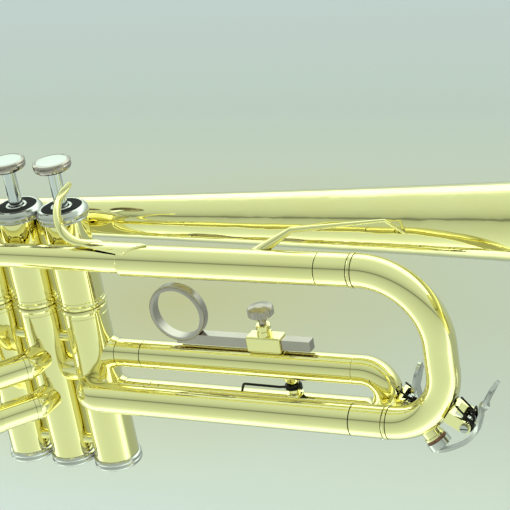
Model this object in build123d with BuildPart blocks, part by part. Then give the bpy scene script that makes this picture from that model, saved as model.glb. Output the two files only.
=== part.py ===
from build123d import *
import os
from math import acos, atan2, cos, exp, hypot, radians, sin

# B-flat piston trumpet, in millimetres.
# X runs towards the bell, Y towards the bell side, Z up along the valves.
# The origin is on the middle valve's axis, on the lower face of its bottom cap.

# Valves
valve_pitch = 22.65
casing_r = 9.83
bore_r = 8.45
guide_bore_r = 8.9
spigot_r = 9.25
casing_top_z = 119.3
ledge_z = 76.0
band_z = 79.5
thread_gap = 0.05
piston_r = 8.38
piston_bottom_z = 22.0
piston_floor_z = 66.0
piston_top_z = 120.5
stem_r = 2.85
cap_web_z = 123.2
cap_hole_r = 3.4
button_z = 141.0
pearl_r = 6.65
port_r = 5.3

# Tube heights and offsets
lead_y = -16.4
lead_z = 109.0
main_z = 42.9
loop_upper_z = 55.5
loop_lower_z = 35.8
loop_mid_z = (loop_upper_z + loop_lower_z) / 2
loop_bend_r = (loop_upper_z - loop_lower_z) / 2
third_y = 1.0
first_y = -1.0

# Main tuning slide
sleeve_r = 6.57
sleeve_bore_r = 6.0
slide_leg_r = 5.95
slide_leg_bore_r = 5.45
sleeve_start_x = 57.8
upper_seam_x = 144.5
seam_gap = 0.3
lower_seam_x = 149.0
upper_bow_x = 160.0
lower_bow_x = 165.0
bow_r = 6.62
upper_bend_r = 29.5
lower_bend_r = 24.5
bow_far_x = upper_bow_x + upper_bend_r

# Valve slides
loop_r = 6.2
loop_bore_r = 5.65
loop_leg_r = 5.6
loop_leg_bore_r = 5.1
stub_seam_x = 35.2
stub_end_x = 47.4
third_leg_end_x = 139.4
first_leg_end_x = 80.0
third_bow_x = 145.3
third_bend_x = 148.2
first_bow_x = -84.0
first_bend_x = -87.0
second_angle = 48.0
second_r = 6.05
second_bore_r = 5.45
second_leg_r = 5.4
second_leg_bore_r = 4.9
second_vertex = (-1.25, -16.4)
second_seam = 19.5
second_bend = 26.0

# Bell
bell_y = 22.0
bell_z = 109.6
bell_tilt = 1.0
bell_start_x = -75.0
bell_rim_x = 322.0
bell_wall = 0.55
tail_bend_x = -95.0

# Mouthpiece end
receiver_end_x = -168.0

os.makedirs("parts", exist_ok=True)


def side_plane(y, x=0.0, z=0.0):
    """Upright plane facing the player's right, local x along +X and local y along +Z."""
    return Plane(origin=(x, y, z), x_dir=(1, 0, 0), z_dir=(0, -1, 0))


def cross_plane(x, y, z):
    """Plane square to the tubes that run along X."""
    return Plane(origin=(x, y, z), x_dir=(0, 1, 0), z_dir=(1, 0, 0))


def level_plane(x, y, z):
    """Flat plane facing up, local x along +X."""
    return Plane(origin=(x, y, z), x_dir=(1, 0, 0), z_dir=(0, 0, 1))


def ring(plane, outer, inner):
    with BuildSketch(plane) as section:
        Circle(outer)
        Circle(inner, mode=Mode.SUBTRACT)
    return section.sketch


def disc(plane, radius):
    with BuildSketch(plane) as section:
        Circle(radius)
    return section.sketch


def profile(plane, points):
    with BuildSketch(plane) as section:
        with BuildLine():
            Polyline(*points, close=True)
        make_face()
    return section.sketch


def start_plane(path):
    return Plane(origin=path @ 0, z_dir=path % 0)


def solid_along(path, radius):
    return sweep(disc(start_plane(path), radius), path=path, mode=Mode.PRIVATE)


def upright(x, y, radius, low, high):
    """Plain upright cylinder used to trim tube ends to a casing."""
    return Pos(x, y, (low + high) / 2) * Cylinder(radius, high - low)


valve_x = {number: (number - 2) * valve_pitch for number in (1, 2, 3)}
casing_trim = {number: upright(valve_x[number], 0, casing_r, 0, 119) for number in valve_x}

# ---------------------------------------------------------------- valve casings
casing_profile = [
    (bore_r, 1.6),
    (spigot_r, 1.6),
    (spigot_r, 4.6),
    (casing_r, 4.6),
    (casing_r, band_z - 4.2),
    (casing_r - 0.15, band_z - 4.0),
    (casing_r, band_z - 3.8),
    (casing_r, band_z - 2.4),
    (casing_r + 0.35, band_z - 2.1),
    (casing_r + 0.5, band_z - 1.5),
    (casing_r + 0.4, band_z - 0.8),
    (casing_r + 0.1, band_z - 0.3),
    (casing_r - 0.35, band_z - 0.15),
    (casing_r - 0.35, band_z + 0.15),
    (casing_r + 0.1, band_z + 0.3),
    (casing_r + 0.4, band_z + 0.8),
    (casing_r + 0.5, band_z + 1.4),
    (casing_r + 0.35, band_z + 2.0),
    (casing_r, band_z + 2.3),
    (casing_r, band_z + 3.2),
    (casing_r - 0.15, band_z + 3.4),
    (casing_r, band_z + 3.6),
    (casing_r, casing_top_z),
    (spigot_r, casing_top_z),
    (spigot_r, 122.0),
    (guide_bore_r, 122.0),
    (guide_bore_r, ledge_z),
    (bore_r, ledge_z),
]
second_line_angle = 180 + second_angle
casing_ports = {
    1: [(180, loop_upper_z), (180, loop_lower_z), (105, main_z), (0, 47.0)],
    2: [(265, loop_upper_z), (265, loop_lower_z), (0, 47.0), (180, 47.0)],
    3: [(0, loop_upper_z), (0, loop_lower_z), (285, main_z), (180, 47.0)],
}
for number, x in valve_x.items():
    with BuildPart() as valve_casing:
        add(profile(side_plane(0, x), casing_profile))
        revolve(axis=Axis((x, 0, 0), (0, 0, 1)))
        for angle, z in casing_ports[number]:
            outward = (cos(radians(angle)), sin(radians(angle)), 0)
            with BuildSketch(Plane(origin=(x, 0, z), z_dir=outward)):
                Circle(port_r)
            extrude(amount=12, mode=Mode.SUBTRACT)
    valve_casing.part.label = f"valve_casing_{number}"
    export_step(valve_casing.part, f"parts/valve_casing_{number}.step")

gap_centres = (-valve_pitch / 2, valve_pitch / 2)
with BuildPart() as casing_braces:
    for x in gap_centres:
        for z in (11.5, 63.5):
            with BuildSketch(cross_plane(x - 4, -2.0, z)):
                Circle(2.3)
            extrude(amount=8)
    for number in valve_x:
        add(casing_trim[number], mode=Mode.SUBTRACT)
casing_braces.part.label = "casing_braces"
export_step(casing_braces.part, "parts/casing_braces.step")

with BuildPart() as intervalve_tubes:
    for x in gap_centres:
        with BuildSketch(cross_plane(x - 5, 0, 47.0)):
            Circle(6.1)
            Circle(port_r, mode=Mode.SUBTRACT)
        extrude(amount=10)
    for number in valve_x:
        add(casing_trim[number], mode=Mode.SUBTRACT)
intervalve_tubes.part.label = "intervalve_tubes"
export_step(intervalve_tubes.part, "parts/intervalve_tubes.step")

# ---------------------------------------------------------------- caps, felts and guides
top_cap_profile = [
    (spigot_r + thread_gap, casing_top_z + 0.1),
    (10.3, casing_top_z + 0.1),
    (10.7, casing_top_z + 0.3),
    (10.9, casing_top_z + 0.7),
    (10.75, casing_top_z + 1.1),
    (10.75, casing_top_z + 1.3),
    (11.05, casing_top_z + 1.7),
    (11.2, casing_top_z + 2.4),
    (11.1, casing_top_z + 3.2),
    (10.8, casing_top_z + 3.9),
    (10.3, casing_top_z + 4.6),
    (9.7, casing_top_z + 5.1),
    (9.1, casing_top_z + 5.35),
    (8.75, casing_top_z + 5.3),
    (8.6, casing_top_z + 5.0),
    (8.6, cap_web_z),
    (4.6, cap_web_z),
    (4.6, cap_web_z + 1.5),
    (4.35, cap_web_z + 1.8),
    (3.85, cap_web_z + 1.8),
    (cap_hole_r, cap_web_z + 1.5),
    (cap_hole_r, 122.1),
    (spigot_r + thread_gap, 122.1),
]
with BuildPart() as top_caps:
    for x in valve_x.values():
        add(profile(side_plane(0, x), top_cap_profile))
        revolve(axis=Axis((x, 0, 0), (0, 0, 1)))
top_caps.part.label = "top_caps"
export_step(top_caps.part, "parts/top_caps.step")

with BuildPart() as cap_felts:
    for x in valve_x.values():
        extrude(ring(level_plane(x, 0, cap_web_z), 8.55, 4.65), amount=1.2)
        extrude(ring(level_plane(x, 0, 120.6), 7.0, 3.1), amount=1.5)
cap_felts.part.label = "cap_felts"
export_step(cap_felts.part, "parts/cap_felts.step")

bottom_cap_profile = [
    (2.5, 0),
    (9.7, 0),
    (10.3, 0.2),
    (10.7, 0.6),
    (10.85, 1.2),
    (10.75, 1.8),
    (10.45, 2.2),
    (10.45, 2.4),
    (10.65, 2.7),
    (10.75, 3.2),
    (10.65, 3.7),
    (10.3, 4.1),
    (9.9, 4.3),
    (9.9, 4.5),
    (spigot_r + thread_gap, 4.5),
    (spigot_r + thread_gap, 1.5),
    (2.5, 1.5),
]
with BuildPart() as bottom_caps:
    for x in valve_x.values():
        add(profile(side_plane(0, x), bottom_cap_profile))
        revolve(axis=Axis((x, 0, 0), (0, 0, 1)))
bottom_caps.part.label = "bottom_caps"
export_step(bottom_caps.part, "parts/bottom_caps.step")

with BuildPart() as valve_guides:
    for x in valve_x.values():
        with BuildSketch(level_plane(x, 0, ledge_z)):
            Rectangle(4.0, 2 * guide_bore_r)
            Circle(guide_bore_r - 0.1, mode=Mode.INTERSECT)
            Circle(7.1)
            Circle(2.5, mode=Mode.SUBTRACT)
        extrude(amount=2)
valve_guides.part.label = "valve_guides"
export_step(valve_guides.part, "parts/valve_guides.step")

# ---------------------------------------------------------------- pistons, springs and buttons
piston_profile = [
    (0, piston_bottom_z + 3),
    (6.5, piston_bottom_z + 3),
    (6.5, piston_bottom_z),
    (piston_r, piston_bottom_z),
    (piston_r, piston_top_z),
    (2.0, piston_top_z),
    (2.0, piston_top_z - 2.5),
    (7.4, piston_top_z - 2.5),
    (7.4, piston_floor_z),
    (0, piston_floor_z),
]
stem_profile = [
    (0, piston_top_z - 2.4),
    (1.95, piston_top_z - 2.4),
    (1.95, piston_top_z),
    (stem_r, piston_top_z),
    (stem_r, button_z),
    (6.3, button_z),
    (7.2, button_z + 0.3),
    (7.8, button_z + 0.9),
    (8.05, button_z + 1.7),
    (8.0, button_z + 2.5),
    (7.75, button_z + 3.0),
    (7.85, button_z + 3.2),
    (8.1, button_z + 3.45),
    (8.0, button_z + 3.8),
    (7.5, button_z + 4.15),
    (pearl_r + 0.35, button_z + 4.25),
    (pearl_r + 0.05, button_z + 4.1),
    (pearl_r + 0.05, button_z + 2.8),
    (0, button_z + 2.8),
]
spring_low_z = ledge_z + 2.7
spring_high_z = piston_top_z - 2.5 - 0.7
spring_turns = 9
for number, x in valve_x.items():
    with BuildPart() as piston:
        add(profile(side_plane(0, x), piston_profile))
        revolve(axis=Axis((x, 0, 0), (0, 0, 1)))
        with BuildSketch(level_plane(x, 0, 74.5)):
            Rectangle(4.5, 20)
        extrude(amount=22, mode=Mode.SUBTRACT)
        for angle, z in casing_ports[number]:
            outward = (cos(radians(angle)), sin(radians(angle)), 0)
            with BuildSketch(Plane(origin=(x, 0, z), z_dir=outward)):
                Circle(4.8)
            extrude(amount=10, mode=Mode.SUBTRACT)
    piston.part.label = f"piston_{number}"
    export_step(piston.part, f"parts/piston_{number}.step")

    with BuildPart() as valve_spring:
        with BuildLine(level_plane(x, 0, spring_low_z)) as coil:
            Helix(
                pitch=(spring_high_z - spring_low_z) / spring_turns,
                height=spring_high_z - spring_low_z,
                radius=6.2,
            )
        with BuildSketch(start_plane(coil.wire())):
            Circle(0.55)
        sweep(path=coil.wire(), is_frenet=True)
    valve_spring.part.label = f"valve_spring_{number}"
    export_step(valve_spring.part, f"parts/valve_spring_{number}.step")

    with BuildPart() as finger_button:
        add(profile(side_plane(0, x), stem_profile))
        revolve(axis=Axis((x, 0, 0), (0, 0, 1)))
    finger_button.part.label = f"finger_button_{number}"
    export_step(finger_button.part, f"parts/finger_button_{number}.step")

    with BuildPart() as button_pearl:
        with BuildSketch(side_plane(0, x)):
            with BuildLine():
                Polyline(
                    (0, button_z + 2.8),
                    (pearl_r, button_z + 2.8),
                    (pearl_r, button_z + 4.05),
                    (pearl_r - 0.4, button_z + 4.3),
                    (pearl_r - 2.2, button_z + 4.5),
                    (0, button_z + 4.6),
                    close=True,
                )
            make_face()
        revolve(axis=Axis((x, 0, 0), (0, 0, 1)))
    button_pearl.part.label = f"button_pearl_{number}"
    export_step(button_pearl.part, f"parts/button_pearl_{number}.step")

# ---------------------------------------------------------------- mouthpiece, receiver and leadpipe
lead_axis = Axis((0, lead_y, lead_z), (1, 0, 0))
lead_side = side_plane(lead_y, 0, lead_z)

with BuildPart() as mouthpiece:
    with BuildSketch(lead_side):
        with BuildLine():
            Polyline((-146.5, 4.85), (receiver_end_x - 0.5, 5.40), (-174, 5.4), (-180, 6.6), (-198, 7.6))
            Spline((-198, 7.6), (-206, 11.2), (-222, 13.0), tangents=((-0.7, 0.6), (-1, 0.05)))
            Line((-222, 13.0), (-225, 13.0))
            Line((-225, 13.0), (-226, 13.6))
            Line((-226, 13.6), (-228, 13.6))
            ThreePointArc((-228, 13.6), (-230.2, 11.1), (-227.6, 8.6))
            Spline((-227.6, 8.6), (-220, 6.9), (-214, 1.9), tangents=((0.9, -0.2), (0.2, -1)))
            Line((-214, 1.9), (-210, 1.9))
            Line((-210, 1.9), (-146.5, 4.2))
            Line((-146.5, 4.2), (-146.5, 4.85))
        make_face()
    revolve(axis=lead_axis)
mouthpiece.part.label = "mouthpiece"
export_step(mouthpiece.part, "parts/mouthpiece.step")

receiver_profile = [
    (receiver_end_x, 5.5),
    (receiver_end_x, 6.9),
    (receiver_end_x + 0.5, 7.5),
    (receiver_end_x + 3.0, 7.5),
    (receiver_end_x + 3.5, 6.9),
    (receiver_end_x + 22, 6.7),
    (receiver_end_x + 24, 7.2),
    (receiver_end_x + 26, 6.6),
    (receiver_end_x + 33, 6.2),
    (receiver_end_x + 34, 5.6),
    (receiver_end_x + 34, 5.0),
    (receiver_end_x + 22.6, 5.0),
    (receiver_end_x + 22.6, 4.97),
]
with BuildPart() as mouthpiece_receiver:
    add(profile(lead_side, receiver_profile))
    revolve(axis=lead_axis)
mouthpiece_receiver.part.label = "mouthpiece_receiver"
export_step(mouthpiece_receiver.part, "parts/mouthpiece_receiver.step")

leadpipe_profile = [
    (receiver_end_x + 22.7, 4.35),
    (receiver_end_x + 22.7, 4.95),
    (0, 5.05),
    (46, 5.4),
    (66, 5.5),
    (66, 5.0),
    (0, 4.55),
]
with BuildPart() as leadpipe:
    add(profile(lead_side, leadpipe_profile))
    revolve(axis=lead_axis)
leadpipe.part.label = "leadpipe"
export_step(leadpipe.part, "parts/leadpipe.step")

sleeve_profile = [
    (sleeve_start_x, 5.55),
    (sleeve_start_x, 6.3),
    (sleeve_start_x + 0.4, sleeve_r),
    (upper_seam_x - 0.2, sleeve_r),
    (upper_seam_x, sleeve_r - 0.2),
    (upper_seam_x, sleeve_bore_r),
    (sleeve_start_x + 9, sleeve_bore_r),
    (sleeve_start_x + 9, 5.55),
]
with BuildPart() as leadpipe_sleeve:
    add(profile(lead_side, sleeve_profile))
    revolve(axis=lead_axis)
leadpipe_sleeve.part.label = "leadpipe_sleeve"
export_step(leadpipe_sleeve.part, "parts/leadpipe_sleeve.step")

# ---------------------------------------------------------------- lower sleeve with its knuckle
knuckle_x = 25.7
knuckle_bend_r = 7.5
with BuildLine(level_plane(0, 0, main_z)) as lower_path:
    FilletPolyline(
        (lower_seam_x, lead_y),
        (knuckle_x, lead_y),
        (valve_x[3] + 0.5, -1.9),
        radius=knuckle_bend_r,
    )
with BuildPart() as lower_sleeve:
    add(ring(start_plane(lower_path.wire()), sleeve_r, sleeve_bore_r))
    sweep(path=lower_path.wire())
    add(casing_trim[3], mode=Mode.SUBTRACT)
lower_sleeve.part.label = "lower_sleeve"
export_step(lower_sleeve.part, "parts/lower_sleeve.step")

# ---------------------------------------------------------------- main tuning slide
with BuildPart() as tuning_slide_legs:
    extrude(ring(cross_plane(76, lead_y, lead_z), slide_leg_r, slide_leg_bore_r), amount=upper_bow_x - 76)
    extrude(ring(cross_plane(80, lead_y, main_z), slide_leg_r, slide_leg_bore_r), amount=lower_bow_x - 80)
tuning_slide_legs.part.label = "tuning_slide_legs"
export_step(tuning_slide_legs.part, "parts/tuning_slide_legs.step")


def ferrule_profile(start, end):
    """Plain tube with a raised ring, cut off by a fine groove at each side, next to the bow."""
    inner = slide_leg_r + 0.02
    tube = sleeve_r + 0.05
    bead = sleeve_r + 0.3
    groove = inner + 0.25
    return [
        (start + seam_gap, inner),
        (start + seam_gap, tube - 0.2),
        (start + seam_gap + 0.2, tube),
        (end - 2.2, tube),
        (end - 2.05, groove),
        (end - 1.85, groove),
        (end - 1.75, bead - 0.15),
        (end - 1.5, bead),
        (end - 0.65, bead),
        (end - 0.4, bead - 0.15),
        (end - 0.3, groove),
        (end - 0.05, groove),
        (end - 0.05, inner),
    ]


with BuildPart() as tuning_slide_ferrules:
    for start, end, z in ((upper_seam_x, upper_bow_x, lead_z), (lower_seam_x, lower_bow_x, main_z)):
        add(profile(side_plane(lead_y, 0, z), ferrule_profile(start, end)))
        revolve(axis=Axis((0, lead_y, z), (1, 0, 0)))
tuning_slide_ferrules.part.label = "tuning_slide_ferrules"
export_step(tuning_slide_ferrules.part, "parts/tuning_slide_ferrules.step")

upper_arc_z = lead_z - upper_bend_r
lower_arc_z = main_z + lower_bend_r
with BuildLine(side_plane(lead_y)) as bow_path:
    CenterArc((upper_bow_x, upper_arc_z), upper_bend_r, 90, -90)
    Line((bow_far_x, upper_arc_z), (bow_far_x, lower_arc_z))
    CenterArc((lower_bow_x, lower_arc_z), lower_bend_r, 0, -90)
with BuildPart() as tuning_bow:
    add(ring(cross_plane(upper_bow_x, lead_y, lead_z), bow_r, bow_r - 0.6))
    sweep(path=bow_path.wire())
tuning_bow.part.label = "tuning_bow"
export_step(tuning_bow.part, "parts/tuning_bow.step")

# ---------------------------------------------------------------- water keys
def key_seat(y, centre, angle, reach, hinge, nipple_r, standoff, lug_r):
    """Nipple and hinge saddle soldered to the outside of a bow."""
    direction = Vector(cos(radians(angle)), 0, -sin(radians(angle)))
    base = Vector(centre[0], y, centre[1]) + direction * (reach - 1.5)
    nipple_plane = Plane(origin=base, x_dir=(0, 1, 0), z_dir=direction)
    extrude(disc(nipple_plane, nipple_r), amount=1.5 + standoff)
    extrude(disc(nipple_plane.offset(0.9 + standoff), nipple_r + 0.6), amount=0.8)
    foot = Vector(centre[0] - hinge[0], 0, centre[1] - hinge[1])
    inward = foot.normalized()
    lug_plane = Plane(origin=(hinge[0], y, hinge[1]), x_dir=inward, z_dir=(0, 1, 0))
    with BuildSketch(lug_plane) as lug:
        Circle(lug_r)
        with Locations((foot.length / 2 - reach / 2 + 0.5, 0)):
            Rectangle(foot.length - reach + 1.0, 2 * lug_r + 0.4)
    extrude(lug.sketch, amount=5.6, both=True)
    gap_length = foot.length - reach - 1.2
    with BuildSketch(lug_plane) as gap:
        Circle(lug_r + 1.0)
        with Locations((gap_length / 2, 0)):
            Rectangle(gap_length, 2 * lug_r + 2.0)
    extrude(gap.sketch, amount=4.2, both=True, mode=Mode.SUBTRACT)


def key_lever(y, points, tangents, spoon, waist):
    """Bent flat lever that ends in an oval thumb plate."""
    with BuildLine(side_plane(y)) as centre_line:
        Spline(*points, tangents=tangents)
    path = centre_line.wire()
    with BuildSketch(Plane(origin=path @ 0, x_dir=(0, 1, 0), z_dir=path % 0)) as blade:
        Rectangle(2 * waist, 1.3)
    sweep(blade.sketch, path=path)
    centre, half_length, half_width = spoon
    along = path % centre
    plate_plane = Plane(origin=path @ centre, x_dir=along, z_dir=along.cross(Vector(0, 1, 0)))
    with BuildSketch(plate_plane) as plate:
        Ellipse(half_length, half_width)
    extrude(plate.sketch, amount=0.6, both=True)


def pin_rod(y, hinge, radius, half_width):
    plane = Plane(origin=(hinge[0], y, hinge[1]), x_dir=(1, 0, 0), z_dir=(0, 1, 0))
    return extrude(disc(plane, radius), amount=half_width, both=True, mode=Mode.PRIVATE)


def key_plane(y, centre, angle, reach):
    direction = Vector(cos(radians(angle)), 0, -sin(radians(angle)))
    origin = Vector(centre[0], y, centre[1]) + direction * reach
    return Plane(origin=origin, x_dir=(0, 1, 0), z_dir=direction)


def leg_start(target, radius):
    """Where a straight spring leg leaves its coil, measured from the hinge."""
    angle = atan2(target[1], target[0]) - acos(radius / hypot(*target))
    return (radius * cos(angle), radius * sin(angle))


pin_r = 0.9
key_wire_r = 0.4
key_coil_r = 2.75
main_key = dict(
    prefix="water_key",
    y=lead_y,
    centre=(lower_bow_x, lower_arc_z),
    angle=58.5,
    reach=lower_bend_r + bow_r,
    hinge=(197.3, 46.8),
    nipple_r=3.7,
    standoff=2.5,
    cork_r=4.1,
    cork_t=2.6,
    tube_path=bow_path.wire(),
    tube_r=bow_r,
    lever=[(184.6, 33.8), (195.0, 37.2), (200.6, 44.0), (204.0, 53.4), (208.9, 62.6)],
    tangents=[(1.0, 0.0), (0.55, 0.83)],
    spoon=(0.82, 5.4, 3.0),
    bow_leg=(-3.2, 8.2),
    lever_leg=(3.0, 5.6),
)
with BuildLine(side_plane(third_y)) as third_bow_path:
    Line((third_bow_x, loop_upper_z), (third_bend_x, loop_upper_z))
    CenterArc((third_bend_x, loop_mid_z), loop_bend_r, 90, -180)
    Line((third_bend_x, loop_lower_z), (third_bow_x, loop_lower_z))
third_key = dict(
    prefix="third_key",
    y=third_y,
    centre=(third_bend_x, loop_mid_z),
    angle=69.0,
    reach=loop_bend_r + loop_r,
    hinge=(166.9, 43.5),
    nipple_r=3.3,
    standoff=0.9,
    cork_r=3.7,
    cork_t=2.0,
    tube_path=third_bow_path.wire(),
    tube_r=loop_r,
    lever=[(155.8, 26.1), (163.6, 28.6), (168.7, 35.0), (171.0, 44.0), (173.9, 60.0)],
    tangents=[(1.0, 0.2), (0.3, 0.95)],
    spoon=(0.86, 7.2, 4.8),
    bow_leg=(-2.5, 5.6),
    lever_leg=(2.2, 5.6),
)
for key in (main_key, third_key):
    y = key["y"]
    hinge = key["hinge"]
    reach = key["reach"]
    tube = solid_along(key["tube_path"], key["tube_r"])
    with BuildPart() as seat:
        key_seat(y, key["centre"], key["angle"], reach, hinge, key["nipple_r"], key["standoff"], 2.4)
        add(tube, mode=Mode.SUBTRACT)
        add(pin_rod(y, hinge, pin_r + 0.02, 6), mode=Mode.SUBTRACT)
    seat.part.label = key["prefix"] + "_seat"
    export_step(seat.part, f"parts/{key['prefix']}_seat.step")

    cork_t = key["cork_t"]
    cork_plane = key_plane(y, key["centre"], key["angle"], reach + key["standoff"] + 0.25)
    with BuildPart() as cork:
        extrude(disc(cork_plane, key["cork_r"]), amount=cork_t)
    cork.part.label = key["prefix"] + "_cork"
    export_step(cork.part, f"parts/{key['prefix']}_cork.step")

    with BuildPart() as lever:
        key_lever(y, key["lever"], key["tangents"], key["spoon"], 2.2)
        extrude(disc(cork_plane.offset(cork_t / 2), key["cork_r"] + 0.55), amount=cork_t / 2 + 1.6)
        with BuildSketch(cork_plane) as pocket:
            Circle(key["cork_r"] + 0.02)
        extrude(pocket.sketch, amount=cork_t + 0.02, mode=Mode.SUBTRACT)
        add(pin_rod(y, hinge, 1.9, 4.1))
        arm_end = Vector(key["lever"][2][0], y, key["lever"][2][1])
        arm_start = Vector(hinge[0], y, hinge[1])
        arm_plane = Plane(origin=arm_start, x_dir=(0, 1, 0), z_dir=arm_end - arm_start)
        with BuildSketch(arm_plane) as arm:
            Rectangle(3.0, 2.0)
        extrude(arm.sketch, amount=(arm_end - arm_start).length)
        add(pin_rod(y, hinge, pin_r + 0.05, 6), mode=Mode.SUBTRACT)
    lever.part.label = key["prefix"] + "_lever"
    export_step(lever.part, f"parts/{key['prefix']}_lever.step")

    with BuildPart() as key_pin:
        add(pin_rod(y, hinge, pin_r, 5.65))
        head_plane = Plane(origin=(hinge[0], y - 5.65, hinge[1]), x_dir=(1, 0, 0), z_dir=(0, -1, 0))
        extrude(disc(head_plane, 1.7), amount=0.9)
        with BuildSketch(head_plane.offset(0.5)) as slot:
            Rectangle(4, 0.5)
        extrude(slot.sketch, amount=1, mode=Mode.SUBTRACT)
    key_pin.part.label = key["prefix"] + "_pin"
    export_step(key_pin.part, f"parts/{key['prefix']}_pin.step")

    bow_end = key["bow_leg"]
    bow_start = leg_start(bow_end, key_coil_r)
    lever_end = key["lever_leg"]
    lever_start = leg_start(lever_end, key_coil_r)
    with BuildPart() as key_spring:
        for side in (-1, 1):
            coil_y = y + side * 2.85 - 0.85
            with BuildLine() as coil:
                Helix(0.85, 1.7, key_coil_r, center=(hinge[0], coil_y, hinge[1]), direction=(0, 1, 0))
            with BuildSketch(start_plane(coil.wire())):
                Circle(key_wire_r)
            sweep(path=coil.wire(), is_frenet=True)
            with BuildLine(side_plane(y + side * 3.4, hinge[0], hinge[1])) as outer_leg:
                Line(bow_start, bow_end)
            with BuildSketch(start_plane(outer_leg.wire())):
                Circle(key_wire_r)
            sweep(path=outer_leg.wire())
        with BuildLine() as bridge:
            FilletPolyline(
                (hinge[0] + lever_start[0], y - 2.3, hinge[1] + lever_start[1]),
                (hinge[0] + lever_end[0], y - 2.3, hinge[1] + lever_end[1]),
                (hinge[0] + lever_end[0], y + 2.3, hinge[1] + lever_end[1]),
                (hinge[0] + lever_start[0], y + 2.3, hinge[1] + lever_start[1]),
                radius=0.9,
            )
        with BuildSketch(start_plane(bridge.wire())):
            Circle(key_wire_r)
        sweep(path=bridge.wire())
    key_spring.part.label = key["prefix"] + "_spring"
    export_step(key_spring.part, f"parts/{key['prefix']}_spring.step")

# ---------------------------------------------------------------- third valve slide
def stub_profile(side):
    """Stub that flares into its casing, has a fine seam, and carries a thinner leg. side is 1 or -1."""
    points = [
        (28.0, loop_leg_bore_r),
        (28.0, loop_r + 2.2),
        (31.5, loop_r + 1.1),
        (33.5, loop_r + 0.35),
        (stub_seam_x, loop_r),
        (stub_seam_x, loop_r - 0.4),
        (stub_seam_x + seam_gap, loop_r - 0.4),
        (stub_seam_x + seam_gap, loop_r),
        (stub_end_x - 0.2, loop_r),
        (stub_end_x, loop_r - 0.2),
        (stub_end_x, loop_leg_r),
        (third_leg_end_x if side > 0 else first_leg_end_x, loop_leg_r),
        (third_leg_end_x if side > 0 else first_leg_end_x, loop_leg_bore_r),
    ]
    return [(side * x, radius) for x, radius in points]


with BuildPart() as third_slide_stubs:
    for z in (loop_upper_z, loop_lower_z):
        add(profile(side_plane(third_y, 0, z), stub_profile(1)))
        revolve(axis=Axis((0, third_y, z), (1, 0, 0)))
    add(casing_trim[3], mode=Mode.SUBTRACT)
third_slide_stubs.part.label = "third_slide_stubs"
export_step(third_slide_stubs.part, "parts/third_slide_stubs.step")

third_sleeve_profile = [
    (stub_end_x + seam_gap, loop_bore_r),
    (stub_end_x + seam_gap, loop_r - 0.2),
    (stub_end_x + seam_gap + 0.2, loop_r),
    (third_bow_x - 0.3, loop_r),
    (third_bow_x, loop_r - 0.3),
    (third_bow_x, loop_bore_r),
]
with BuildPart() as third_slide_sleeves:
    for z in (loop_upper_z, loop_lower_z):
        add(profile(side_plane(third_y, 0, z), third_sleeve_profile))
        revolve(axis=Axis((0, third_y, z), (1, 0, 0)))
third_slide_sleeves.part.label = "third_slide_sleeves"
export_step(third_slide_sleeves.part, "parts/third_slide_sleeves.step")

with BuildPart() as third_slide_bow:
    add(ring(start_plane(third_bow_path.wire()), loop_r, loop_bore_r))
    sweep(path=third_bow_path.wire())
third_slide_bow.part.label = "third_slide_bow"
export_step(third_slide_bow.part, "parts/third_slide_bow.step")

third_tube_trim = Pos(90, third_y, loop_upper_z) * Rot(0, 90, 0) * Cylinder(loop_r, 180)
third_tube_trim += Pos(90, third_y, loop_lower_z) * Rot(0, 90, 0) * Cylinder(loop_r, 180)

post_x = 116.0
with BuildPart() as slide_brace:
    with BuildSketch(level_plane(post_x, third_y, loop_lower_z)):
        Circle(2.4)
    extrude(amount=loop_upper_z - loop_lower_z)
    for z in (loop_lower_z + 5.0, loop_upper_z - 6.6):
        with BuildSketch(level_plane(post_x, third_y, z)):
            Circle(3.6)
        extrude(amount=1.6)
    add(third_tube_trim, mode=Mode.SUBTRACT)
slide_brace.part.label = "slide_brace"
export_step(slide_brace.part, "parts/slide_brace.step")

wire_r = 0.55
with BuildPart() as stop_wire:
    with BuildLine(level_plane(post_x, third_y, 44.2)) as wrap:
        Helix(pitch=1.25, height=2.5, radius=3.1)
    with BuildSketch(start_plane(wrap.wire())):
        Circle(wire_r)
    sweep(path=wrap.wire(), is_frenet=True)
    with BuildLine(side_plane(third_y - 3.1)) as arm_path:
        FilletPolyline((post_x, 46.7), (post_x - 5, 46.2), (94.5, 46.4), (93.2, 42.9), radius=1.2)
    with BuildSketch(start_plane(arm_path.wire())):
        Circle(wire_r)
    sweep(path=arm_path.wire())
stop_wire.part.label = "stop_wire"
export_step(stop_wire.part, "parts/stop_wire.step")

# ---------------------------------------------------------------- finger ring on its rod
rod_z = 65.4
rod_h = 4.6
rod_w = 4.4
rod_start_x = 66.0
rod_end_x = 127.4
ring_x = 68.2
ring_r = 12.9
ring_bore_r = 10.9
ring_z = 77.0
clamp_start_x = 99.2
clamp_end_x = 114.7
neck_x = 106.8
neck_profile = [
    (0, 3.0),
    (3.2, 3.0),
    (3.2, 5.6),
    (2.8, 5.9),
    (2.8, 6.4),
    (3.2, 6.7),
    (3.2, 8.0),
    (2.8, 8.4),
    (0, 8.4),
]
with BuildPart() as finger_ring:
    with BuildSketch(side_plane(third_y, ring_x, ring_z)):
        Circle(ring_r)
    extrude(amount=2.4, both=True)
    fillet(finger_ring.edges(), 0.9)
    with BuildSketch(side_plane(third_y)):
        with BuildLine():
            Polyline(
                (rod_start_x, rod_z - rod_h / 2),
                (rod_end_x, rod_z - rod_h / 2),
                (rod_end_x, rod_z + rod_h / 2),
                (rod_start_x, rod_z + rod_h / 2),
                close=True,
            )
        make_face()
    extrude(amount=rod_w / 2, both=True)
    with BuildSketch(side_plane(third_y, ring_x, ring_z)):
        Circle(ring_bore_r)
    extrude(amount=5, both=True, mode=Mode.SUBTRACT)
finger_ring.part.label = "finger_ring"
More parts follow.
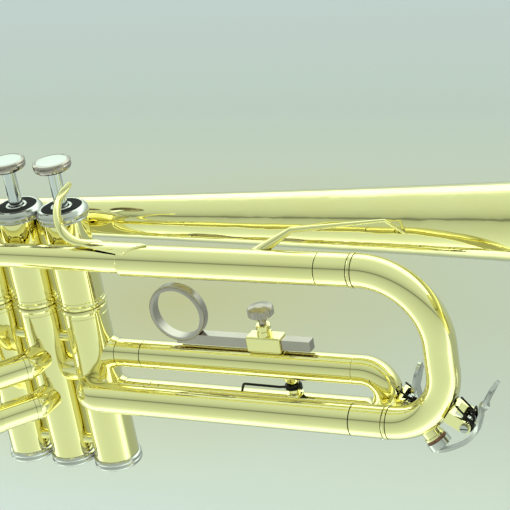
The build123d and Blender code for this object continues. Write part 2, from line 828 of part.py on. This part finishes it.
export_step(finger_ring.part, "parts/finger_ring.step")

with BuildPart() as ring_clamp:
    with BuildSketch(cross_plane(clamp_start_x, third_y, rod_z)):
        Rectangle(7.2, 7.0)
    extrude(amount=clamp_end_x - clamp_start_x)
    fillet(ring_clamp.edges(), 0.8)
    with BuildSketch(cross_plane(clamp_start_x + 1.5, third_y, rod_z - 4.5)):
        Rectangle(4.6, 3.0)
    extrude(amount=clamp_end_x - clamp_start_x - 3.0)
    add(profile(side_plane(third_y, neck_x, rod_z), neck_profile))
    revolve(axis=Axis((neck_x, third_y, 0), (0, 0, 1)))
    with BuildSketch(cross_plane(clamp_start_x - 1, third_y, rod_z)):
        Rectangle(rod_w + 0.1, rod_h + 0.1)
    extrude(amount=20, mode=Mode.SUBTRACT)
    with BuildSketch(level_plane(neck_x, third_y, rod_z)):
        Circle(1.65)
    extrude(amount=12, mode=Mode.SUBTRACT)
    add(third_tube_trim, mode=Mode.SUBTRACT)
ring_clamp.part.label = "ring_clamp"
export_step(ring_clamp.part, "parts/ring_clamp.step")

screw_tip_z = rod_z + rod_h / 2 + 0.05
head_low_z = 75.4
head_high_z = 82.1
with BuildPart() as thumb_screw:
    with BuildSketch(level_plane(neck_x, third_y, screw_tip_z)):
        Circle(1.6)
    extrude(amount=head_low_z + 1.1 - screw_tip_z)
    with BuildSketch(side_plane(third_y)):
        with BuildLine():
            Polyline(
                (neck_x, head_low_z),
                (neck_x + 2.0, head_low_z),
                (neck_x + 2.4, head_low_z + 1.6),
                (neck_x + 4.9, head_low_z + 2.4),
                (neck_x + 5.5, head_low_z + 3.0),
                (neck_x + 5.5, head_high_z - 1.1),
                (neck_x + 5.0, head_high_z - 0.5),
                (neck_x + 2.0, head_high_z),
                (neck_x, head_high_z),
                close=True,
            )
        make_face()
    revolve(axis=Axis((neck_x, third_y, 0), (0, 0, 1)))
    with BuildSketch(level_plane(neck_x, third_y, head_low_z + 1.8)):
        with PolarLocations(5.65, 26):
            Circle(0.45)
    extrude(amount=6, mode=Mode.SUBTRACT)
thumb_screw.part.label = "thumb_screw"
export_step(thumb_screw.part, "parts/thumb_screw.step")

# ---------------------------------------------------------------- first valve slide
first_stub_x = -stub_end_x
with BuildPart() as first_slide_stubs:
    for z in (loop_upper_z, loop_lower_z):
        add(profile(side_plane(first_y, 0, z), stub_profile(-1)))
        revolve(axis=Axis((0, first_y, z), (1, 0, 0)))
    add(casing_trim[1], mode=Mode.SUBTRACT)
first_slide_stubs.part.label = "first_slide_stubs"
export_step(first_slide_stubs.part, "parts/first_slide_stubs.step")

with BuildLine(side_plane(first_y)) as first_path:
    Line((first_stub_x - 0.05, loop_upper_z), (first_bend_x, loop_upper_z))
    CenterArc((first_bend_x, loop_mid_z), loop_bend_r, 90, 180)
    Line((first_bend_x, loop_lower_z), (first_stub_x - 0.05, loop_lower_z))
with BuildPart() as first_slide:
    add(ring(start_plane(first_path.wire()), loop_r, loop_bore_r))
    sweep(path=first_path.wire())
    for z in (loop_upper_z, loop_lower_z):
        extrude(ring(cross_plane(first_bow_x, first_y, z), loop_r + 0.3, loop_bore_r), amount=3.0)
first_slide.part.label = "first_slide"
export_step(first_slide.part, "parts/first_slide.step")

saddle_x = -60.0
saddle_z = loop_upper_z + loop_r + 12.6
with BuildPart() as thumb_saddle:
    with BuildSketch(side_plane(first_y, saddle_x, saddle_z)):
        Circle(12.8)
        Circle(11.4, mode=Mode.SUBTRACT)
        with Locations((0, 10)):
            Rectangle(40, 20, mode=Mode.SUBTRACT)
    extrude(amount=6.0, both=True)
    with BuildSketch(level_plane(saddle_x, first_y, loop_upper_z)):
        Rectangle(9, 7)
    extrude(amount=loop_r + 1.2)
    with BuildSketch(side_plane(first_y, saddle_x, saddle_z)):
        Circle(11.4)
    extrude(amount=8, both=True, mode=Mode.SUBTRACT)
    with Locations((saddle_x, first_y, loop_upper_z)):
        Cylinder(loop_r, 40, rotation=(0, 90, 0), mode=Mode.SUBTRACT)
thumb_saddle.part.label = "thumb_saddle"
export_step(thumb_saddle.part, "parts/thumb_saddle.step")

# ---------------------------------------------------------------- second valve slide
second_dir = Vector(-cos(radians(second_angle)), -sin(radians(second_angle)), 0)
second_base = Vector(0, -15, 0)


def second_point(distance, z):
    return second_base + second_dir * distance + Vector(0, 0, z)


band_start = 2.0
band_width = 2.0
with BuildPart() as second_slide_elbows:
    for z in (loop_upper_z, loop_lower_z):
        seam = second_point(second_seam, 0)
        with BuildLine(level_plane(0, 0, z)) as elbow_path:
            FilletPolyline((seam.X, seam.Y), second_vertex, (-0.2, -1.6), radius=7.0)
        add(ring(start_plane(elbow_path.wire()), second_r, second_bore_r))
        sweep(path=elbow_path.wire())
        band_plane = Plane(origin=second_point(band_start, z), z_dir=second_dir)
        extrude(ring(band_plane, second_r + 0.15, second_r - 0.2), amount=band_width)
        for plane in (band_plane, band_plane.offset(band_width)):
            extrude(ring(plane, second_r + 1.0, second_r - 0.35), amount=0.22, mode=Mode.SUBTRACT)
    add(casing_trim[2], mode=Mode.SUBTRACT)
second_slide_elbows.part.label = "second_slide_elbows"
export_step(second_slide_elbows.part, "parts/second_slide_elbows.step")

second_bow_plane = Plane(
    origin=second_point(second_bend, loop_mid_z),
    x_dir=second_dir,
    z_dir=second_dir.cross(Vector(0, 0, 1)),
)
half_gap = loop_bend_r
with BuildLine(second_bow_plane) as second_path:
    Line((second_seam + 0.05 - second_bend, half_gap), (0, half_gap))
    CenterArc((0, 0), half_gap, 90, -180)
    Line((0, -half_gap), (second_seam + 0.05 - second_bend, -half_gap))
with BuildPart() as second_slide:
    add(ring(start_plane(second_path.wire()), second_r, second_leg_bore_r))
    sweep(path=second_path.wire())
    for z in (loop_upper_z, loop_lower_z):
        leg_plane = Plane(origin=second_point(4.0, z), z_dir=second_dir)
        extrude(ring(leg_plane, second_leg_r, second_leg_bore_r), amount=second_seam - 3.9)
        ferrule_plane = Plane(origin=second_point(second_seam + 0.05, z), z_dir=second_dir)
        extrude(ring(ferrule_plane, second_r + 0.3, second_leg_bore_r), amount=3.0)
second_slide.part.label = "second_slide"
export_step(second_slide.part, "parts/second_slide.step")

knob_start = second_bend + half_gap + second_r - 1.0
second_tube = solid_along(second_path.wire(), second_r)
with BuildPart() as second_slide_knob:
    knob_plane = Plane(origin=second_point(knob_start, loop_mid_z), z_dir=second_dir)
    extrude(disc(knob_plane, 2.0), amount=5.0)
    with BuildSketch(knob_plane.offset(4.0)) as knob_head:
        Circle(3.8)
    extrude(knob_head.sketch, amount=3.2)
    fillet(second_slide_knob.faces().sort_by(Axis(second_base, second_dir))[-1].edges(), 0.9)
    add(second_tube, mode=Mode.SUBTRACT)
second_slide_knob.part.label = "second_slide_knob"
export_step(second_slide_knob.part, "parts/second_slide_knob.step")

# ---------------------------------------------------------------- bell
bell_dir = (cos(radians(bell_tilt)), 0, sin(radians(bell_tilt)))
bell_plane = Plane(
    origin=(0, bell_y, bell_z),
    x_dir=bell_dir,
    z_dir=(0, -1, 0),
)
bell_axis = Axis((0, bell_y, bell_z), bell_dir)


def bell_radius(x):
    """Outer radius: a slow exponential bore that opens into a steep flare."""
    return 8.3 * exp(x / 340) + 39.8 * exp((x - bell_rim_x) / 13)


bell_stations = [bell_start_x, -20, 40, 110, 180, 235, 265, 285, 298, 308, 315, 319.5, bell_rim_x]
outer_points = [(x, bell_radius(x)) for x in bell_stations]
inner_points = [(x, bell_radius(x) - bell_wall) for x in bell_stations[:-4]]
inner_points += [(x + 0.45, bell_radius(x) - 0.3) for x in bell_stations[-4:]]
rim_r = bell_radius(bell_rim_x)
with BuildPart() as bell:
    with BuildSketch(bell_plane):
        with BuildLine():
            outer_curve = Spline(*outer_points)
            inner_curve = Spline(*inner_points)
            Line(outer_curve @ 0, inner_curve @ 0)
            Line(outer_curve @ 1, inner_curve @ 1)
        make_face()
        with Locations((bell_rim_x - 0.1, rim_r + 0.5)):
            Circle(1.15)
    revolve(axis=bell_axis)
bell.part.label = "bell"
export_step(bell.part, "parts/bell.step")

with BuildSketch(bell_plane) as bell_section:
    with BuildLine():
        solid_curve = Spline(*outer_points)
        Polyline(solid_curve @ 1, (bell_rim_x, 0), (bell_start_x, 0), solid_curve @ 0)
    make_face()
bell_trim = revolve(bell_section.sketch, axis=bell_axis, mode=Mode.PRIVATE)

bell_tube_r = bell_radius(bell_start_x)
bow_top = bell_plane.from_local_coords((bell_start_x, 0, 0))
tail_y = -lead_y
bow_drop = Vector(0, tail_y - bow_top.Y, main_z - bow_top.Z)
bow_half = bow_drop.length / 2
bell_bow_plane = Plane(
    origin=Vector(0, bow_top.Y, bow_top.Z) + bow_drop * 0.5,
    x_dir=(1, 0, 0),
    z_dir=Vector(1, 0, 0).cross(bow_drop * -1),
)
with BuildLine(bell_bow_plane) as bell_bow_path:
    Line((bell_start_x - 0.2, bow_half), (tail_bend_x, bow_half))
    CenterArc((tail_bend_x, 0), bow_half, 90, 180)
    Line((tail_bend_x, -bow_half), (bell_start_x - 10, -bow_half))
with BuildPart() as bell_bow:
    add(ring(start_plane(bell_bow_path.wire()), bell_tube_r, bell_tube_r - bell_wall))
    sweep(path=bell_bow_path.wire())
bell_bow.part.label = "bell_bow"
export_step(bell_bow.part, "parts/bell_bow.step")

with BuildLine(level_plane(0, 0, main_z)) as tail_path:
    FilletPolyline(
        (bell_start_x - 10, tail_y),
        (-knuckle_x, tail_y),
        (valve_x[1] - 0.5, 1.9),
        radius=knuckle_bend_r,
    )
with BuildPart() as bell_tail:
    add(ring(start_plane(tail_path.wire()), sleeve_r, sleeve_bore_r))
    sweep(path=tail_path.wire())
    extrude(ring(cross_plane(bell_start_x - 10, tail_y, main_z), bell_tube_r + 0.3, sleeve_bore_r), amount=9)
    add(casing_trim[1], mode=Mode.SUBTRACT)
bell_tail.part.label = "bell_tail"
export_step(bell_tail.part, "parts/bell_tail.step")

lead_trim = Pos(0, lead_y, lead_z) * Rot(0, 90, 0) * Cylinder(sleeve_r, 280)
brace_knots = [
    (Vector(116.9, -13.0, 112.6), 2.6),
    (Vector(131.6, -9.0, 121.4), 1.2),
    (Vector(165.6, 3.0, 121.0), 0.6),
    (Vector(171.4, 8.7, 113.0), 0.7),
]
with BuildPart() as bell_brace_front:
    for (start, start_r), (end, end_r) in zip(brace_knots, brace_knots[1:]):
        along = end - start
        loft([disc(Plane(origin=start, z_dir=along), start_r), disc(Plane(origin=end, z_dir=along), end_r)])
    for knot, knot_r in brace_knots[1:-1]:
        with Locations(knot):
            Sphere(knot_r)
    add(lead_trim, mode=Mode.SUBTRACT)
    add(bell_trim, mode=Mode.SUBTRACT)
bell_brace_front.part.label = "bell_brace_front"
export_step(bell_brace_front.part, "parts/bell_brace_front.step")

rear_brace_x = -60.0
rear_lead_trim = Pos(rear_brace_x, lead_y, lead_z) * Rot(0, 90, 0) * Cylinder(5.1, 20)
with BuildPart() as bell_brace_rear:
    with BuildSketch(Plane(origin=(rear_brace_x, lead_y, lead_z - 0.3), x_dir=(1, 0, 0), z_dir=(0, 1, 0))):
        Circle(1.9)
    extrude(amount=bell_y - lead_y)
    for y in (lead_y + 5.9, bell_y - 7.8):
        with Locations((rear_brace_x, y, lead_z - 0.3)):
            Cylinder(3.6, 2.6, rotation=(90, 0, 0))
    add(rear_lead_trim, mode=Mode.SUBTRACT)
    add(bell_trim, mode=Mode.SUBTRACT)
bell_brace_rear.part.label = "bell_brace_rear"
export_step(bell_brace_rear.part, "parts/bell_brace_rear.step")

# ---------------------------------------------------------------- little-finger hook
hook_stations = [
    (0.0, 1.3, 1.0),
    (0.06, 1.7, 1.4),
    (0.3, 2.0, 1.7),
    (0.55, 2.1, 1.75),
    (0.75, 2.1, 1.5),
    (0.88, 2.2, 0.9),
    (1.0, 2.3, 0.55),
]
leaf_wall = 0.85
leaf_tip_x = 70.4
leaf_corner_x = 61.7
leaf_corner_y = 5.0
with BuildLine(side_plane(lead_y)) as hook_path:
    Spline(
        (40.6, 142.0),
        (36.0, 136.8),
        (31.4, 130.6),
        (30.8, 123.9),
        (34.4, 118.4),
        (41.5, 116.2),
        (49.0, 115.95),
        tangents=((-0.6, -0.8), (1, 0)),
    )
hook_curve = hook_path.wire()
leaf_shell = Pos(50, lead_y, lead_z) * Rot(0, 90, 0) * Cylinder(sleeve_r + leaf_wall, 60)
with BuildPart() as finger_hook:
    hook_sections = []
    for station, half_width, half_depth in hook_stations:
        section_plane = Plane(
            origin=hook_curve @ station,
            x_dir=(0, 1, 0),
            z_dir=hook_curve % station,
        )
        with BuildSketch(section_plane) as hook_section:
            Ellipse(half_width, half_depth)
        hook_sections.append(hook_section.sketch)
    loft(hook_sections)
    with BuildSketch(level_plane(0, lead_y, lead_z + 2), mode=Mode.PRIVATE) as leaf_outline:
        with BuildLine():
            root = (38.0, -1.6)
            corner = (leaf_corner_x, -leaf_corner_y)
            Spline(root, (50.0, -3.4), corner, tangents=((1, -0.05), (1, -0.2)))
            Spline(corner, (65.0, -2.3), (leaf_tip_x, 0), tangents=((0.5, 0.9), (1, 0.25)))
            mirror(about=Plane.XZ)
            Line((38.0, 1.6), root)
        make_face()
    leaf = extrude(leaf_outline.sketch, amount=8, mode=Mode.PRIVATE)
    add(leaf & leaf_shell)
    add(lead_trim, mode=Mode.SUBTRACT)
finger_hook.part.label = "finger_hook"
export_step(finger_hook.part, "parts/finger_hook.step")
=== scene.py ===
import math

import bpy
from mathutils import Matrix, Vector


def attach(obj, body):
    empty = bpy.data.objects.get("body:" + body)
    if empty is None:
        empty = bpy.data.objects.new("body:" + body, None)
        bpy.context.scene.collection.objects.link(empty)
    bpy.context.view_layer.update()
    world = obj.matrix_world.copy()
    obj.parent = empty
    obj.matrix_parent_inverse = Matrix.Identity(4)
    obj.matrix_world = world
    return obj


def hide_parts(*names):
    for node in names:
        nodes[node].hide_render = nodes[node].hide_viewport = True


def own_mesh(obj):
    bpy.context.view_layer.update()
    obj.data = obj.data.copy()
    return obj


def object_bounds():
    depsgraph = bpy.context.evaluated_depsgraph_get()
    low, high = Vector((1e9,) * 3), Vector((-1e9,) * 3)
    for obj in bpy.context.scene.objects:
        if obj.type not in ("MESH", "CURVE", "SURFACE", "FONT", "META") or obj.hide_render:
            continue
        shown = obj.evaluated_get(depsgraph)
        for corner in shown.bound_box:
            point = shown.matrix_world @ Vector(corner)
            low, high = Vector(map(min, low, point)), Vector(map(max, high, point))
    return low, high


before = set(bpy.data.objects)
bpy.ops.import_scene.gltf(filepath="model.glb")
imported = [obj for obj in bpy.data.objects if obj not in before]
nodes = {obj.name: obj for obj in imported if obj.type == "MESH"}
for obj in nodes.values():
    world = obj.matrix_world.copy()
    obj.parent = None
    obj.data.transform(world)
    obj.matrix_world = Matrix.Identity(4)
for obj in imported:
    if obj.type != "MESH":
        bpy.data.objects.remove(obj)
cad_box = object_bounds()
scene = bpy.context.scene
VALVES = (1, 2, 3)


# ------------------------------------------------------------------ node helpers
def feed(tree, socket, source):
    """Link an output to a socket, or set the socket to a plain value."""
    if isinstance(source, bpy.types.NodeSocket):
        tree.links.new(source, socket)
    else:
        socket.default_value = source


def coordinates(tree, kind):
    return tree.nodes.new("ShaderNodeTexCoord").outputs[kind]


def axes(tree, vector):
    """The X, Y and Z outputs of a vector."""
    node = tree.nodes.new("ShaderNodeSeparateXYZ")
    tree.links.new(vector, node.inputs["Vector"])
    return node.outputs


def arithmetic(tree, operation, first, second):
    node = tree.nodes.new("ShaderNodeMath")
    node.operation = operation
    feed(tree, node.inputs[0], first)
    feed(tree, node.inputs[1], second)
    return node.outputs["Value"]


def mix_colours(tree, first, second, factor=1.0, blend="MIX"):
    node = tree.nodes.new("ShaderNodeMix")
    node.data_type = "RGBA"
    node.blend_type = blend
    feed(tree, node.inputs["Factor"], factor)
    feed(tree, node.inputs["A"], first)
    feed(tree, node.inputs["B"], second)
    return node.outputs["Result"]


def grey(value):
    return (value, value, value, 1)


def ramp(tree, source, stops):
    """Colour that runs through stops of (position, colour) as source goes from 0 to 1."""
    node = tree.nodes.new("ShaderNodeValToRGB")
    elements = node.color_ramp.elements
    while len(elements) < len(stops):
        elements.new(0.5)
    for element, (position, colour) in zip(elements, stops):
        element.position = position
        element.color = colour
    tree.links.new(source, node.inputs["Fac"])
    return node.outputs["Color"]


def noise(tree, scale, detail, roughness=0.55):
    """Cloudy pattern in the object's own metres."""
    node = tree.nodes.new("ShaderNodeTexNoise")
    node.inputs["Scale"].default_value = scale
    node.inputs["Detail"].default_value = detail
    node.inputs["Roughness"].default_value = roughness
    tree.links.new(coordinates(tree, "Object"), node.inputs["Vector"])
    return node.outputs["Fac"]


def bump(tree, shader, source, strength, distance):
    node = tree.nodes.new("ShaderNodeBump")
    node.inputs["Strength"].default_value = strength
    node.inputs["Distance"].default_value = distance
    tree.links.new(source, node.inputs["Height"])
    tree.links.new(node.outputs["Normal"], shader.inputs["Normal"])


# ------------------------------------------------------------------ materials
FINE_RELIEF = 0.0002
COARSE_RELIEF = 0.0004
CLOUD_SCALE = 28
SMUDGE_SCALE = 90
RIPPLE_SCALE = 260
# Painted shade: ambient occlusion within this reach darkens the metal's tone in seams and
# corners.
SEAM_REACH = 0.0007
SEAM_SAMPLES = 6
SEAM_SHADE_TONES = [(0.25, grey(0.2)), (0.72, grey(1.0))]
COAT_ROUGHNESS = 0.03
COAT_IOR = 1.45


def new_material(name):
    material = bpy.data.materials.new(name)
    material.use_nodes = True
    tree = material.node_tree
    return material, tree, tree.nodes["Principled BSDF"]


def painted_seam_shade(tree, tone):
    """Tone darkened by painted shade in seams, grooves and inner corners, found by ambient
    occlusion.
    """
    occlusion = tree.nodes.new("ShaderNodeAmbientOcclusion")
    occlusion.samples = SEAM_SAMPLES
    occlusion.inputs["Distance"].default_value = SEAM_REACH
    painted_shade = ramp(tree, occlusion.outputs["AO"], SEAM_SHADE_TONES)
    return mix_colours(tree, tone, painted_shade, blend="MULTIPLY")


def polished_metal(name, clean, tired, gloss, ripple=0.03, coat=0.0, crown=None):
    """Polished metal with handling marks, fine polishing ripple and painted shade in its seams.

    clean and tired are its two tones, and gloss is its lowest and highest roughness.
    crown is a height and the tone of the metal above it.
    """
    material, tree, shader = new_material(name)
    shader.inputs["Metallic"].default_value = 1.0
    cloud = noise(tree, CLOUD_SCALE, detail=5)
    tone = ramp(tree, cloud, [(0.35, clean), (0.75, tired)])
    if crown:
        crown_height, crown_tone = crown
        height = axes(tree, coordinates(tree, "Object"))["Z"]
        is_crown = arithmetic(tree, "GREATER_THAN", height, crown_height)
        tone = mix_colours(tree, tone, crown_tone, factor=is_crown)
    # The base colour carries painted shade in seams and inner corners.
    tree.links.new(painted_seam_shade(tree, tone), shader.inputs["Base Color"])
    smudge = noise(tree, SMUDGE_SCALE, detail=6, roughness=0.65)
    smoothest, roughest = gloss
    roughness = ramp(tree, smudge, [(0.3, grey(smoothest)), (0.8, grey(roughest))])
    tree.links.new(roughness, shader.inputs["Roughness"])
    bump(tree, shader, noise(tree, RIPPLE_SCALE, detail=3), ripple, FINE_RELIEF)
    shader.inputs["Coat Weight"].default_value = coat
    shader.inputs["Coat Roughness"].default_value = COAT_ROUGHNESS
    shader.inputs["Coat IOR"].default_value = COAT_IOR
    return material


def plain_surface(name, base, second, roughness, scale, grain, relief=FINE_RELIEF):
    """Unpolished surface whose pattern sets both its tone and its relief."""
    material, tree, shader = new_material(name)
    pattern = noise(tree, scale, detail=6, roughness=0.6)
    tone = ramp(tree, pattern, [(0.35, base), (0.7, second)])
    tree.links.new(tone, shader.inputs["Base Color"])
    shader.inputs["Roughness"].default_value = roughness
    bump(tree, shader, pattern, grain, relief)
    return material


brass = polished_metal(
    "lacquered_brass",
    clean=(0.92, 0.85, 0.44, 1),
    tired=(0.90, 0.82, 0.39, 1),
    gloss=(0.022, 0.045),
    coat=0.5,
)
nickel = polished_metal(
    "nickel_plate",
    clean=(0.64, 0.63, 0.62, 1),
    tired=(0.54, 0.53, 0.52, 1),
    gloss=(0.14, 0.24),
    ripple=0.05,
)
# The heads of the finger buttons, duller than their stems, start just above this height.
STEM_TOP = 0.1405
chrome = polished_metal(
    "polished_stem",
    clean=(0.72, 0.74, 0.78, 1),
    tired=(0.62, 0.64, 0.67, 1),
    gloss=(0.10, 0.18),
    crown=(STEM_TOP, (0.44, 0.38, 0.36, 1)),
)
satin = polished_metal(
    "satin_nickel",
    clean=(0.50, 0.44, 0.41, 1),
    tired=(0.38, 0.34, 0.31, 1),
    gloss=(0.16, 0.26),
    ripple=0.06,
)
silver = polished_metal(
    "silver_plate",
    clean=(0.86, 0.85, 0.81, 1),
    tired=(0.78, 0.77, 0.72, 1),
    gloss=(0.05, 0.12),
)
steel = polished_metal("spring_steel", clean=grey(0.55), tired=grey(0.42), gloss=(0.15, 0.3))
blackened = polished_metal(
    "blackened_steel", clean=(0.035, 0.033, 0.03, 1), tired=grey(0.02), gloss=(0.25, 0.4)
)
pearl = plain_surface(
    "pearl_inlay",
    base=(0.90, 0.93, 0.92, 1),
    second=(0.82, 0.88, 0.88, 1),
    roughness=0.12,
    scale=60,
    grain=0.02,
)
felt = plain_surface(
    "black_felt",
    base=(0.006, 0.005, 0.007, 1),
    second=(0.016, 0.014, 0.018, 1),
    roughness=0.95,
    scale=900,
    grain=0.8,
    relief=COARSE_RELIEF,
)
cork = plain_surface(
    "natural_cork",
    base=(0.22, 0.09, 0.05, 1),
    second=(0.38, 0.19, 0.11, 1),
    roughness=0.75,
    scale=700,
    grain=0.7,
    relief=COARSE_RELIEF,
)
nylon = plain_surface(
    "guide_nylon",
    base=(0.75, 0.74, 0.68, 1),
    second=(0.68, 0.67, 0.60, 1),
    roughness=0.45,
    scale=200,
    grain=0.05,
)


def at_each_valve(name):
    return [f"{name}_{valve}" for valve in VALVES]


# Every node that isn't named here is brass.
finishes = [
    (chrome, at_each_valve("finger_button")),
    (nickel, ["top_caps", "bottom_caps", "water_key_lever", "third_key_lever"]),
    (nickel, ["tuning_slide_legs", "mouthpiece_receiver"]),
    (satin, ["finger_ring", "thumb_screw"]),
    (silver, ["mouthpiece"]),
    (steel, at_each_valve("valve_spring") + at_each_valve("piston")),
    (steel, ["water_key_pin", "third_key_pin"]),
    (blackened, ["stop_wire", "water_key_spring", "third_key_spring"]),
    (pearl, at_each_valve("button_pearl")),
    (felt, ["cap_felts"]),
    (cork, ["water_key_cork", "third_key_cork"]),
    (nylon, ["valve_guides"]),
]
finish_of = {name: material for material, names in finishes for name in names}
for name, node in nodes.items():
    node.data.materials.clear()
    node.data.materials.append(finish_of.get(name, brass))

# ------------------------------------------------------------------ valve springs
# Each spring stands on its guide; it is copied onto the body and its own node is hidden.
for valve in VALVES:
    node_name = f"valve_spring_{valve}"
    coil = bpy.data.objects.new(f"coil_spring_{valve}", nodes[node_name].data.copy())
    bpy.context.collection.objects.link(coil)
    coil.matrix_world = nodes[node_name].matrix_world.copy()
    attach(coil, "body")
    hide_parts(node_name)
    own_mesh(coil)

# ------------------------------------------------------------------ light
# Brightness of the tent against the angle in degrees up from the front horizon: 90 is overhead,
# 180 is the back horizon and -90 is straight down.
TENT = [
    (-180, 0.62),
    (-150, 0.50),
    (-120, 0.50),
    (-108, 0.75),
    (-96, 1.30),
    (-84, 1.80),
    (-71, 2.10),
    (-60, 1.70),
    (-52, 1.10),
    (-44, 0.96),
    (-30, 0.86),
    (-10, 0.76),
    (12, 0.66),
    (23, 0.56),
    (26.5, 0.27),
    (30.0, 0.26),
    (33.5, 0.52),
    (45, 0.66),
    (62, 0.78),
    (87, 0.86),
    (104, 0.92),
    (114, 1.05),
    (122, 1.60),
    (131, 2.30),
    (144, 2.20),
    (153, 1.50),
    (166, 0.95),
    (180, 0.62),
]
TENT_PEAK = 2.4
TENT_TINT = (0.84, 1.0, 0.84, 1)


def add_light_tent():
    world = bpy.data.worlds.new("light_tent")
    world.use_nodes = True
    tree = world.node_tree
    direction = axes(tree, coordinates(tree, "Generated"))
    to_front = arithmetic(tree, "MULTIPLY", direction["Y"], -1.0)
    angle = arithmetic(tree, "ARCTAN2", direction["Z"], to_front)
    turn = tree.nodes.new("ShaderNodeMapRange")
    turn.inputs["From Min"].default_value = -math.pi
    turn.inputs["From Max"].default_value = math.pi
    tree.links.new(angle, turn.inputs["Value"])
    stops = [((degrees + 180) / 360, grey(value / TENT_PEAK)) for degrees, value in TENT]
    brightness = ramp(tree, turn.outputs["Result"], stops)
    background = tree.nodes["Background"]
    light = mix_colours(tree, brightness, TENT_TINT, blend="MULTIPLY")
    tree.links.new(light, background.inputs["Color"])
    background.inputs["Strength"].default_value = TENT_PEAK
    scene.world = world


# ------------------------------------------------------------------ floor
FLOOR_DROP = 0.10
FLOOR_HALF = 6.0
FLOOR_ROUGHNESS = 0.9
FLOOR_Z = cad_box[0].z - FLOOR_DROP
# Painted light: tone of the paper against Y, which runs from the front to the back, lighter and
# darker as the tent's light falls on it.
PAPER_LIGHT_TONES = [
    (0.08, (0.74, 0.74, 0.80, 1)),
    (0.14, (0.70, 0.70, 0.70, 1)),
    (0.22, (0.61, 0.60, 0.58, 1)),
    (0.34, (0.575, 0.56, 0.50, 1)),
    (0.56, (0.59, 0.58, 0.54, 1)),
    (0.70, (0.55, 0.56, 0.575, 1)),
    (1.00, (0.57, 0.575, 0.65, 1)),
]
# Warm light thrown on the paper by the brass, against the distance from its centre.
GLOW_CENTRE = (-0.14, 0.33, FLOOR_Z)
GLOW_TONES = [
    (0.0, (1.0, 0.90, 0.62, 1)),
    (0.07, (1.02, 0.95, 0.74, 1)),
    (0.24, (1.0, 1.0, 1.0, 1)),
]


def paper_material():
    material, tree, shader = new_material("floor_paper")
    shader.inputs["Roughness"].default_value = FLOOR_ROUGHNESS
    place = coordinates(tree, "Object")
    spot = tree.nodes.new("ShaderNodeVectorMath")
    spot.operation = "DISTANCE"
    spot.inputs[1].default_value = GLOW_CENTRE
    tree.links.new(place, spot.inputs[0])
    glow = ramp(tree, spot.outputs["Value"], GLOW_TONES)
    # Painted light: the paper's brightness changes along Y.
    paper = ramp(tree, axes(tree, place)["Y"], PAPER_LIGHT_TONES)
    tone = mix_colours(tree, paper, glow, blend="MULTIPLY")
    tree.links.new(tone, shader.inputs["Base Color"])
    # Mirrored rays pass through the floor, so the metal reflects the tent in its place.
    path = tree.nodes.new("ShaderNodeLightPath")
    clear = tree.nodes.new("ShaderNodeBsdfTransparent")
    mix = tree.nodes.new("ShaderNodeMixShader")
    tree.links.new(path.outputs["Is Glossy Ray"], mix.inputs["Fac"])
    tree.links.new(shader.outputs["BSDF"], mix.inputs[1])
    tree.links.new(clear.outputs["BSDF"], mix.inputs[2])
    tree.links.new(mix.outputs["Shader"], tree.nodes["Material Output"].inputs["Surface"])
    return material


def add_floor():
    corners = [
        (-FLOOR_HALF, -FLOOR_HALF, FLOOR_Z),
        (FLOOR_HALF, -FLOOR_HALF, FLOOR_Z),
        (FLOOR_HALF, FLOOR_HALF, FLOOR_Z),
        (-FLOOR_HALF, FLOOR_HALF, FLOOR_Z),
    ]
    mesh = bpy.data.meshes.new("floor")
    mesh.from_pydata(corners, [], [(0, 1, 2, 3)])
    mesh.materials.append(paper_material())
    floor = bpy.data.objects.new("floor", mesh)
    bpy.context.collection.objects.link(floor)


# ------------------------------------------------------------------ camera
AZIMUTH = math.radians(28.728)
ELEVATION = math.radians(23.776)
ROLL = math.radians(10.097)
CAMERA_AT = Vector((0.39267, -0.51684, 0.36517))
LENS_MM = 113.95
SENSOR_MM = 36.0
CLIP_START = 0.01


def add_camera():
    forward = Vector(
        (
            -math.sin(AZIMUTH) * math.cos(ELEVATION),
            math.cos(AZIMUTH) * math.cos(ELEVATION),
            -math.sin(ELEVATION),
        )
    )
    level = Vector((math.cos(AZIMUTH), math.sin(AZIMUTH), 0))
    above = level.cross(forward)
    right = level * math.cos(ROLL) - above * math.sin(ROLL)
    up = level * math.sin(ROLL) + above * math.cos(ROLL)
    data = bpy.data.cameras.new("camera")
    data.lens = LENS_MM
    data.sensor_width = SENSOR_MM
    data.clip_start = CLIP_START
    camera = bpy.data.objects.new("camera", data)
    bpy.context.collection.objects.link(camera)
    rotation = Matrix((right, up, -forward)).transposed()
    camera.matrix_world = Matrix.Translation(CAMERA_AT) @ rotation.to_4x4()
    bpy.context.scene.camera = camera


add_light_tent()
add_floor()
add_camera()
scene.view_settings.view_transform = "Standard"
scene.view_settings.look = "None"

bpy.context.view_layer.update()
